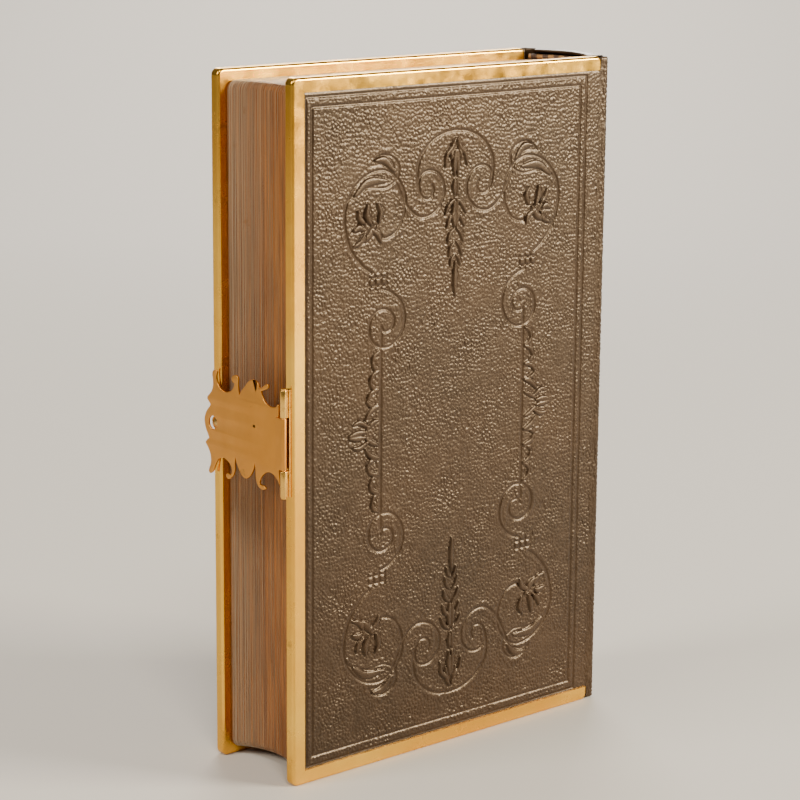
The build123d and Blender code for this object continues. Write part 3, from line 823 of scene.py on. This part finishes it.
# Outline as distance from the hinge and height above the hinge's middle, drawn for a stud 20.75 mm from the
# hinge. "c" starts a new smooth run at a corner.
SPREAD = STUD_T / 20.75
OUTLINE = [
    "c", (1.45, 6.3), (1.5, 3.0), (1.4, -5.6),
    "c", (1.4, -5.6), (1.25, -7.0), (1.2, -8.2),
    "c", (1.2, -8.2), (1.75, -7.3), (2.7, -6.5), (4.0, -6.15), (5.2, -6.5), (6.2, -7.3), (6.85, -8.2),
         (7.0, -8.9),
    "c", (7.0, -8.9), (6.4, -9.05), (5.7, -9.05), (5.2, -9.4), (5.6, -9.75), (6.4, -9.85), (7.2, -9.5),
         (7.8, -8.8),
         (8.05, -7.9), (8.1, -6.9), (8.35, -5.4),
    "c", (8.35, -5.4), (8.75, -6.6), (9.5, -7.8), (10.3, -8.5), (11.2, -8.75), (12.1, -8.35), (12.9, -7.4),
         (13.5, -6.5), (14.0, -5.3),
    "c", (14.0, -5.3), (14.15, -6.5), (14.15, -7.6), (14.5, -8.7), (15.2, -9.5), (16.0, -9.9), (16.6, -9.7),
         (16.75, -9.2), (16.3, -8.75),
    "c", (16.3, -8.75), (15.5, -8.9), (15.0, -8.4), (15.05, -7.7), (15.5, -7.0), (16.4, -6.35), (17.4, -6.1),
         (18.4, -6.3), (19.2, -6.9), (19.8, -7.8), (20.3, -8.8), (20.8, -9.5),
    "c", (20.8, -9.5), (21.5, -9.9), (21.9, -9.5),
    "c", (21.9, -9.5), (21.75, -8.9), (21.35, -8.1), (21.2, -7.2), (21.35, -6.2), (21.8, -5.3), (22.8, -4.1),
    "c", (22.8, -4.1), (22.4, -3.55), (21.7, -3.05),
    "c", (21.7, -3.05), (22.1, -2.3), (22.65, -1.4), (23.0, -0.3), (23.0, 0.6), (22.7, 1.5), (22.1, 2.4),
         (21.5, 3.0),
         (21.2, 3.5),
    "c", (21.2, 3.5), (21.7, 3.95), (22.15, 4.4), (22.0, 4.95), (21.3, 5.6), (20.7, 6.4), (20.4, 7.4),
         (20.4, 8.4),
         (20.6, 9.2),
    "c", (20.6, 9.2), (20.5, 9.9), (20.0, 10.3), (19.4, 10.3), (19.1, 9.95),
    "c", (19.1, 9.95), (19.4, 9.3), (19.3, 8.5), (18.9, 7.7), (18.2, 7.0), (17.2, 6.7), (16.2, 6.75),
         (15.2, 7.1),
         (14.45, 7.8), (14.1, 8.7),
    "c", (14.1, 8.7), (14.6, 8.9), (14.95, 9.35), (14.7, 9.95), (14.1, 10.3), (13.4, 10.3), (12.95, 9.8),
         (13.0, 9.0),
         (12.95, 8.0), (12.65, 6.8),
    "c", (12.65, 6.8), (12.1, 7.7), (11.3, 8.5), (10.6, 9.3), (9.8, 10.0), (8.9, 10.35), (8.0, 10.3), (7.3,
         9.9),
         (7.0, 9.2),
    "c", (7.0, 9.2), (6.3, 9.3), (5.6, 9.8), (5.0, 10.2), (4.45, 10.15), (4.3, 9.7), (4.65, 9.35), (5.3,
         9.05),
         (6.4, 8.6),
    "c", (6.4, 8.6), (6.15, 7.9), (5.6, 7.1), (4.9, 6.55), (4.0, 6.25), (3.1, 6.25), (2.3, 6.5), (1.75, 7.0),
    "c", (1.75, 7.0), (1.5, 6.8), (1.45, 6.3),
]


def outline_points():
    runs, current = [], None
    for item in OUTLINE:
        if item == "c":
            current = []
            runs.append(current)
        else:
            current.append((item[0] * SPREAD, item[1]))
    pts = []
    for run in runs:
        pts += list(spline(run, 0.22))[:-1]
    return np.array(pts)


def flat_curve(name, loops, depth, bevel):
    """A plate from closed outlines, with rounded edges. The first is the outside, and the rest are holes."""
    cu = bpy.data.curves.new(name, "CURVE")
    cu.dimensions = "2D"
    cu.fill_mode = "BOTH"
    cu.extrude = (depth / 2 - bevel) * MM
    cu.bevel_depth = bevel * MM
    cu.bevel_resolution = 3
    cu.offset = -bevel * MM
    for loop in loops:
        sp = cu.splines.new("POLY")
        sp.points.add(len(loop) - 1)
        for p, (x, y) in zip(sp.points, loop):
            p.co = (x * MM, y * MM, 0, 1)
        sp.use_cyclic_u = True
    ob = bpy.data.objects.new(name, cu)
    bpy.context.scene.collection.objects.link(ob)
    dg = bpy.context.evaluated_depsgraph_get()
    me = bpy.data.meshes.new_from_object(ob.evaluated_get(dg))
    bpy.data.objects.remove(ob)
    bpy.data.curves.remove(cu)
    return me


HOLE_RADIUS = 1.30
hole = [(STUD_T - 0.25 + HOLE_RADIUS * math.cos(q), 0.1 + HOLE_RADIUS * math.sin(q))
        for q in np.linspace(0, 2 * math.pi, 40, endpoint=False)]
plate_mesh = flat_curve("clasp_flat", [outline_points(), hole], THICK, 0.13)
# curve x is the distance from the hinge, curve y the height, curve z the plate's thickness
to_book = Matrix(((0, 0, -1, 0), (1, 0, 0, 0), (0, 1, 0, 0), (0, 0, 0, 1)))
plate_mesh.transform(Matrix.Translation(world([PLATE_OUT + THICK / 2, HY, HZ])) @ to_book)
plate = bpy.data.objects.new("clasp_scalloped_plate", plate_mesh)
bpy.context.scene.collection.objects.link(plate)


def rod(name, radius, z0, z1, bevel, mats, sides=40, x=HX, y=HY):
    """An upright rod with rounded ends, in book millimetres."""
    prof = [(0, z0), (radius - bevel, z0)]
    prof += [(radius - bevel + bevel * math.sin(q), z0 + bevel - bevel * math.cos(q)) for q in (0.5, 1.0,
        1.5708)]
    prof += [(radius - bevel + bevel * math.sin(q), z1 - bevel + bevel * math.cos(q)) for q in (1.5708,
        1.0, 0.5)]
    prof += [(radius - bevel, z1), (0, z1)]
    verts, faces = [], []
    for r, z in prof[1:-1]:
        for k in range(sides):
            q = 2 * math.pi * k / sides
            verts.append([x + r * math.cos(q), y + r * math.sin(q), z])
    faces = grid_faces(len(prof) - 2, sides, wrap_v=True, flip=True).tolist()
    faces.append(list(range(sides))[::-1])
    faces.append([(len(prof) - 3) * sides + k for k in range(sides)])
    return mesh_piece(name, np.array(verts), faces, mats)


def join(name, obs):
    """Several meshes as one object."""
    import bmesh
    bm = bmesh.new()
    for o in obs:
        bm.from_mesh(o.data)
    me = bpy.data.meshes.new(name)
    bm.to_mesh(me)
    bm.free()
    for m in obs[0].data.materials:
        me.materials.append(m)
    for o in obs:
        bpy.data.objects.remove(o)
    ob = bpy.data.objects.new(name, me)
    bpy.context.scene.collection.objects.link(ob)
    me.polygons.foreach_set("use_smooth", np.full(len(me.polygons), True))
    sharp_edges(ob, 32)
    return ob


# chisel cuts beside the middle lobes, and the small pit in the plate
def cutter(name, t, w, length, width, angle):
    """A long pointed wedge that is sunk into the plate's face."""
    x = PLATE_OUT
    ca, sa = math.cos(angle), math.sin(angle)
    pts = []
    for dt, dw, dx in ((0, 0, -0.3), (width, length, -0.3), (-width, length, -0.3), (0, length, 0.42)):
        pts.append([x + dx, HY + t + dt * ca + dw * sa, HZ + w - dt * sa + dw * ca])
    faces = [[0, 1, 2], [0, 3, 1], [0, 2, 3], [1, 3, 2]]
    ob = mesh_piece(name, np.array(pts), faces, [clasp_brass], False)
    bm_fix_normals(ob)
    return ob


def boolean(ob, tool, kind="DIFFERENCE"):
    m = ob.modifiers.new("cut", "BOOLEAN")
    m.operation = kind
    m.solver = "EXACT"
    m.object = tool
    dg = bpy.context.evaluated_depsgraph_get()
    me = bpy.data.meshes.new_from_object(ob.evaluated_get(dg))
    ob.modifiers.remove(m)
    old = ob.data
    ob.data = me
    bpy.data.meshes.remove(old)
    bpy.data.objects.remove(tool)


plate.data.materials.append(clasp_brass)
for t, w, length, width, angle in ((7.6, 5.9, 5.2, 1.7, 0.10), (8.35, -4.9, 2.2, 0.30, math.pi),
                                   (14.0, -4.8, 2.2, 0.25, math.pi), (12.65, 6.3, 1.6, 0.22, 0.05)):
    boolean(plate, cutter("cut", t * SPREAD, w, length, width, angle))
pit = rod("pit", 0.30, HZ + 1.45, HZ + 1.95, 0.14, [clasp_brass], 24, PLATE_OUT, HY + 8.4 * SPREAD)
boolean(plate, pit)

full_lo, full_hi = base_lo[2] / MM, base_hi[2] / MM
length = full_hi - full_lo
kn_lo = full_lo + length * 0.25 + 0.05
kn_hi = full_lo + length * 0.74 - 0.05
knuckle = rod("knuckle", BARREL - 0.12, kn_lo, kn_hi, 0.12, [clasp_brass])
web_x = (HX - BARREL + 0.14, PLATE_OUT + THICK)
web = mesh_piece("web", np.array([[x, y, z] for x in web_x for y in (HY, HY + 1.75) for z in (kn_lo + 0.05,
    kn_hi - 0.05)]),
                 [[0, 1, 3, 2], [4, 6, 7, 5], [0, 4, 5, 1], [2, 3, 7, 6], [0, 2, 6, 4], [1, 5, 7, 3]],
                 [clasp_brass], False)
clasp = join("clasp_with_knuckle", [plate, knuckle, web])
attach(clasp, "clasp")
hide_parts("clasp_plate")

# fixed half of the hinge: leaf and two rolled knuckles with their seams
fixed = [rod("k1", BARREL, full_lo, kn_lo - 0.1, 0.14, [hinge_brass]),
         rod("k2", BARREL, kn_hi + 0.1, full_hi, 0.14, [hinge_brass])]
half_w = 0.60
for z0, z1, xa, half in ((full_lo, full_hi, -0.35, half_w), (full_lo, kn_lo - 0.1, HX + 0.2, 0.34),
                         (kn_hi + 0.1, full_hi, HX + 0.2, 0.34)):
    fixed.append(mesh_piece("leaf", np.array([[x, y, z] for x in (xa, 0.0) for y in (HY - half, HY + half)
                                              for z in (z0, z1)]),
                            [[0, 1, 3, 2], [4, 6, 7, 5], [0, 4, 5, 1], [2, 3, 7, 6], [0, 2, 6, 4], [1, 5,
                            7, 3]],
                            [hinge_brass], False))
fixed_hinge = join("clasp_hinge_fixed_half", fixed)
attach(fixed_hinge, "back_cover")
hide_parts("clasp_hinge_base")

# ------------------------------------------------------------------ the CAD nodes that stay

KEEP = {"rim": rim_brass, "clasp_hinge_pin": hinge_brass, "clasp_stud": stud_brass, "pastedown": end_paper,
        "board": board_card, "sewing_cords": cloth, "spine_lining": cloth, "spine_inlay": board_card}
for name, ob in frame["nodes"].items():
    for key, mat in KEEP.items():
        if key in name:
            for s in ob.material_slots:
                s.material = mat
            break

# ------------------------------------------------------------------ stage, light and camera

floor_mat, nt, bsdf = new_material("FloorPaper")
bsdf.inputs["Base Color"].default_value = (0.62, 0.60, 0.57, 1)
bsdf.inputs["Roughness"].default_value = 0.8
me = bpy.data.meshes.new("floor")
ring = []
back = 1.1
profile = [(-1.2, 0.0), (back - 0.5, 0.0)]
profile += [(back - 0.5 + 0.5 * math.sin(q), 0.5 - 0.5 * math.cos(q)) for q in np.linspace(0.1, 1.5, 10)]
profile += [(back, 2.4)]
turn = math.radians(-42.6)
verts = []
for s in (-2.2, 2.2):
    for d, h in profile:
        verts.append((s * math.cos(turn) - d * math.sin(turn), s * math.sin(turn) + d * math.cos(turn), h))
n = len(profile)
me.from_pydata(verts, [], [[i, i + 1, n + i + 1, n + i] for i in range(n - 1)])
me.materials.append(floor_mat)
me.polygons.foreach_set("use_smooth", np.full(len(me.polygons), True))
floor = bpy.data.objects.new("floor", me)
bpy.context.scene.collection.objects.link(floor)


def area(name, place, target, size, power, colour=(1, 1, 1)):
    li = bpy.data.lights.new(name, "AREA")
    li.shape = "RECTANGLE"
    li.size, li.size_y = size
    li.energy = power
    li.color = colour
    ob = bpy.data.objects.new(name, li)
    ob.location = place
    ob.rotation_euler = (Vector(target) - Vector(place)).to_track_quat("-Z", "Y").to_euler()
    bpy.context.scene.collection.objects.link(ob)


area("softbox", (0.49, -0.64, 0.31), (0, 0, 0.16), (0.34, 0.22), 15, (1.0, 0.90, 0.72))
area("key", (-0.34, -0.55, 0.95), (0, 0, 0.12), (0.24, 0.24), 5, (1.0, 0.92, 0.80))
area("fill", (-0.80, 0.16, 0.62), (0, 0, 0.10), (0.4, 0.4), 7, (1.0, 0.88, 0.72))
area("top", (0.60, 0.72, 0.55), (0, 0, 0.10), (0.5, 0.4), 8, (1.0, 0.95, 0.88))
w = bpy.data.worlds.new("world")
bpy.context.scene.world = w
w.use_nodes = True
w.node_tree.nodes["Background"].inputs[0].default_value = (0.86, 0.84, 0.82, 1)
w.node_tree.nodes["Background"].inputs[1].default_value = 0.12

cam_data = bpy.data.cameras.new("camera")
cam_data.sensor_width = 36
cam_data.lens = 114.76
cam_data.shift_x = -0.0877
cam_data.shift_y = -0.0006
cam_data.clip_start = 0.01
cam = bpy.data.objects.new("camera", cam_data)
bpy.context.scene.collection.objects.link(cam)
yaw, pitch, roll = math.radians(42.563), math.radians(12.744), math.radians(0.785)
d = Vector((math.sin(yaw) * math.cos(pitch), math.cos(yaw) * math.cos(pitch), -math.sin(pitch)))
right = Vector((math.cos(yaw), -math.sin(yaw), 0))
up = right.cross(d)
r2 = right * math.cos(roll) + up * math.sin(roll)
u2 = up * math.cos(roll) - right * math.sin(roll)
spot = world([-279.507, -363.544, 176.075])
cam.matrix_world = Matrix(((r2.x, u2.x, -d.x, spot[0]), (r2.y, u2.y, -d.y, spot[1]),
                           (r2.z, u2.z, -d.z, spot[2]), (0, 0, 0, 1)))
bpy.context.scene.camera = cam
